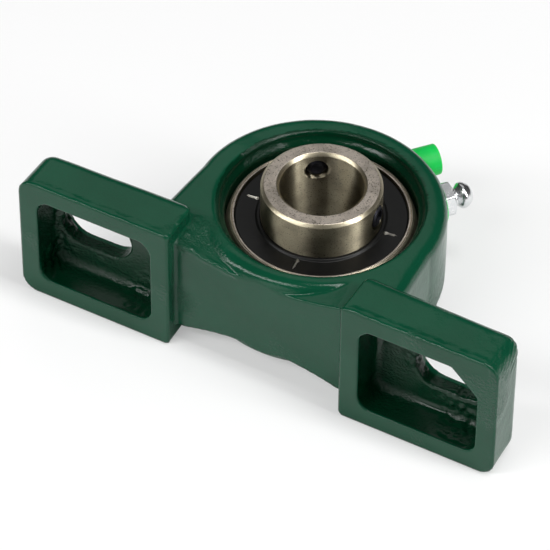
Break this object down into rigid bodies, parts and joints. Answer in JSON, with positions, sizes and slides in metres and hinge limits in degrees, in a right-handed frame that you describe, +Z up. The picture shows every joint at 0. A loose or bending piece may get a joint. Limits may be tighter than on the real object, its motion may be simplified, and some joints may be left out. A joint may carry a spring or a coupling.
{
  "type": "pillow block bearing",
  "caption": "Cast-iron pillow block on two slotted hollow feet, with a self-aligning ball bearing insert that grips a shaft by set screws, and a grease nipple with dust cap.",
  "frame": {"origin": "middle of the base, on the plane that the feet stand on", "axes": "+Z up from the base to the shaft, +X along the base, Y along the shaft with the set screws at the -Y end"},
  "size_m": [0.127, 0.0363, 0.0724],
  "materials": {
    "paint": "dark green gloss paint",
    "ring_steel": "ground",
    "slinger_black": "black",
    "seal_rubber": "matt",
    "cage_steel": "pressed",
    "ball_steel": "polished",
    "spring_wire": "drawn",
    "plated": "bright zinc",
    "cap_plastic": "moulded",
    "screw_black": "black oxide"
  },
  "bodies": {
    "housing": {"housing": "paint", "grease_nipple": "plated", "cap_ring": "cap_plastic", "nipple_spring": "spring_wire"},
    "check_ball": {"nipple_ball": "ball_steel"},
    "dust_cap": {"nipple_cap": "cap_plastic"},
    "insert": {"outer_ring": "ring_steel", "front_seal": "seal_rubber", "rear_seal": "seal_rubber"},
    "inner_race": {"inner_ring": "ring_steel", "front_slinger": "slinger_black", "rear_slinger": "slinger_black"},
    "cage": {"front_cage": "cage_steel", "rear_cage": "cage_steel", "cage_rivets": "cage_steel"},
    "set_screw_1": {"set_screw_1": "screw_black"},
    "set_screw_2": {"set_screw_2": "screw_black"},
    "ball_1": {"ball_1": "ball_steel"},
    "ball_2": {"ball_2": "ball_steel"},
    "ball_3": {"ball_3": "ball_steel"},
    "ball_4": {"ball_4": "ball_steel"},
    "ball_5": {"ball_5": "ball_steel"},
    "ball_6": {"ball_6": "ball_steel"},
    "ball_7": {"ball_7": "ball_steel"},
    "ball_8": {"ball_8": "ball_steel"}
  },
  "joints": [
    {"name": "self_align", "type": "hinge", "parent": "housing", "child": "insert", "pos_m": [0, 0, 0.0333], "axis": [1, 0, 0], "range_deg": [-5, 5]},
    {"name": "shaft_spin", "type": "hinge", "parent": "insert", "child": "inner_race", "pos_m": [0, 0, 0.0333], "axis": [0, 1, 0], "continuous": true},
    {"name": "cage_spin", "type": "hinge", "parent": "insert", "child": "cage", "pos_m": [0, 0, 0.0333], "axis": [0, 1, 0], "continuous": true},
    {"name": "ball_1_spin", "type": "hinge", "parent": "cage", "child": "ball_1", "pos_m": [0.01547, 0, 0.03971], "axis": [0, 1, 0], "continuous": true},
    {"name": "ball_2_spin", "type": "hinge", "parent": "cage", "child": "ball_2", "pos_m": [0.00641, 0, 0.04877], "axis": [0, 1, 0], "continuous": true},
    {"name": "ball_3_spin", "type": "hinge", "parent": "cage", "child": "ball_3", "pos_m": [-0.00641, 0, 0.04877], "axis": [0, 1, 0], "continuous": true},
    {"name": "ball_4_spin", "type": "hinge", "parent": "cage", "child": "ball_4", "pos_m": [-0.01547, 0, 0.03971], "axis": [0, 1, 0], "continuous": true},
    {"name": "ball_5_spin", "type": "hinge", "parent": "cage", "child": "ball_5", "pos_m": [-0.01547, 0, 0.02689], "axis": [0, 1, 0], "continuous": true},
    {"name": "ball_6_spin", "type": "hinge", "parent": "cage", "child": "ball_6", "pos_m": [-0.00641, 0, 0.01783], "axis": [0, 1, 0], "continuous": true},
    {"name": "ball_7_spin", "type": "hinge", "parent": "cage", "child": "ball_7", "pos_m": [0.00641, 0, 0.01783], "axis": [0, 1, 0], "continuous": true},
    {"name": "ball_8_spin", "type": "hinge", "parent": "cage", "child": "ball_8", "pos_m": [0.01547, 0, 0.02689], "axis": [0, 1, 0], "continuous": true},
    {"name": "set_screw_1_slide", "type": "slide", "parent": "inner_race", "child": "set_screw_1", "axis": [0.9962, 0, 0.0872], "range_m": [-0.0003, 0.002]},
    {"name": "set_screw_2_slide", "type": "slide", "parent": "inner_race", "child": "set_screw_2", "axis": [-0.5736, 0, 0.8192], "range_m": [-0.0003, 0.002]},
    {"name": "check_ball_lift", "type": "slide", "parent": "housing", "child": "check_ball", "axis": [-0.6428, 0, -0.766], "range_m": [0, 0.0004], "stiffness_N_per_m": 50, "springref_m": -0.001, "deforming": ["nipple_spring"]},
    {"name": "dust_cap_strap", "type": "hinge", "parent": "housing", "child": "dust_cap", "pos_m": [0.01464, -0.0022, 0.0607], "axis": [0, 1, 0], "range_deg": [0, 60]}
  ],
  "couplings": [
    {"joint": "cage_spin", "follows": "shaft_spin", "ratio": 0.38152},
    {"joint": "ball_1_spin", "follows": "shaft_spin", "ratio": -1.9916},
    {"joint": "ball_2_spin", "follows": "shaft_spin", "ratio": -1.9916},
    {"joint": "ball_3_spin", "follows": "shaft_spin", "ratio": -1.9916},
    {"joint": "ball_4_spin", "follows": "shaft_spin", "ratio": -1.9916},
    {"joint": "ball_5_spin", "follows": "shaft_spin", "ratio": -1.9916},
    {"joint": "ball_6_spin", "follows": "shaft_spin", "ratio": -1.9916},
    {"joint": "ball_7_spin", "follows": "shaft_spin", "ratio": -1.9916},
    {"joint": "ball_8_spin", "follows": "shaft_spin", "ratio": -1.9916}
  ]
}
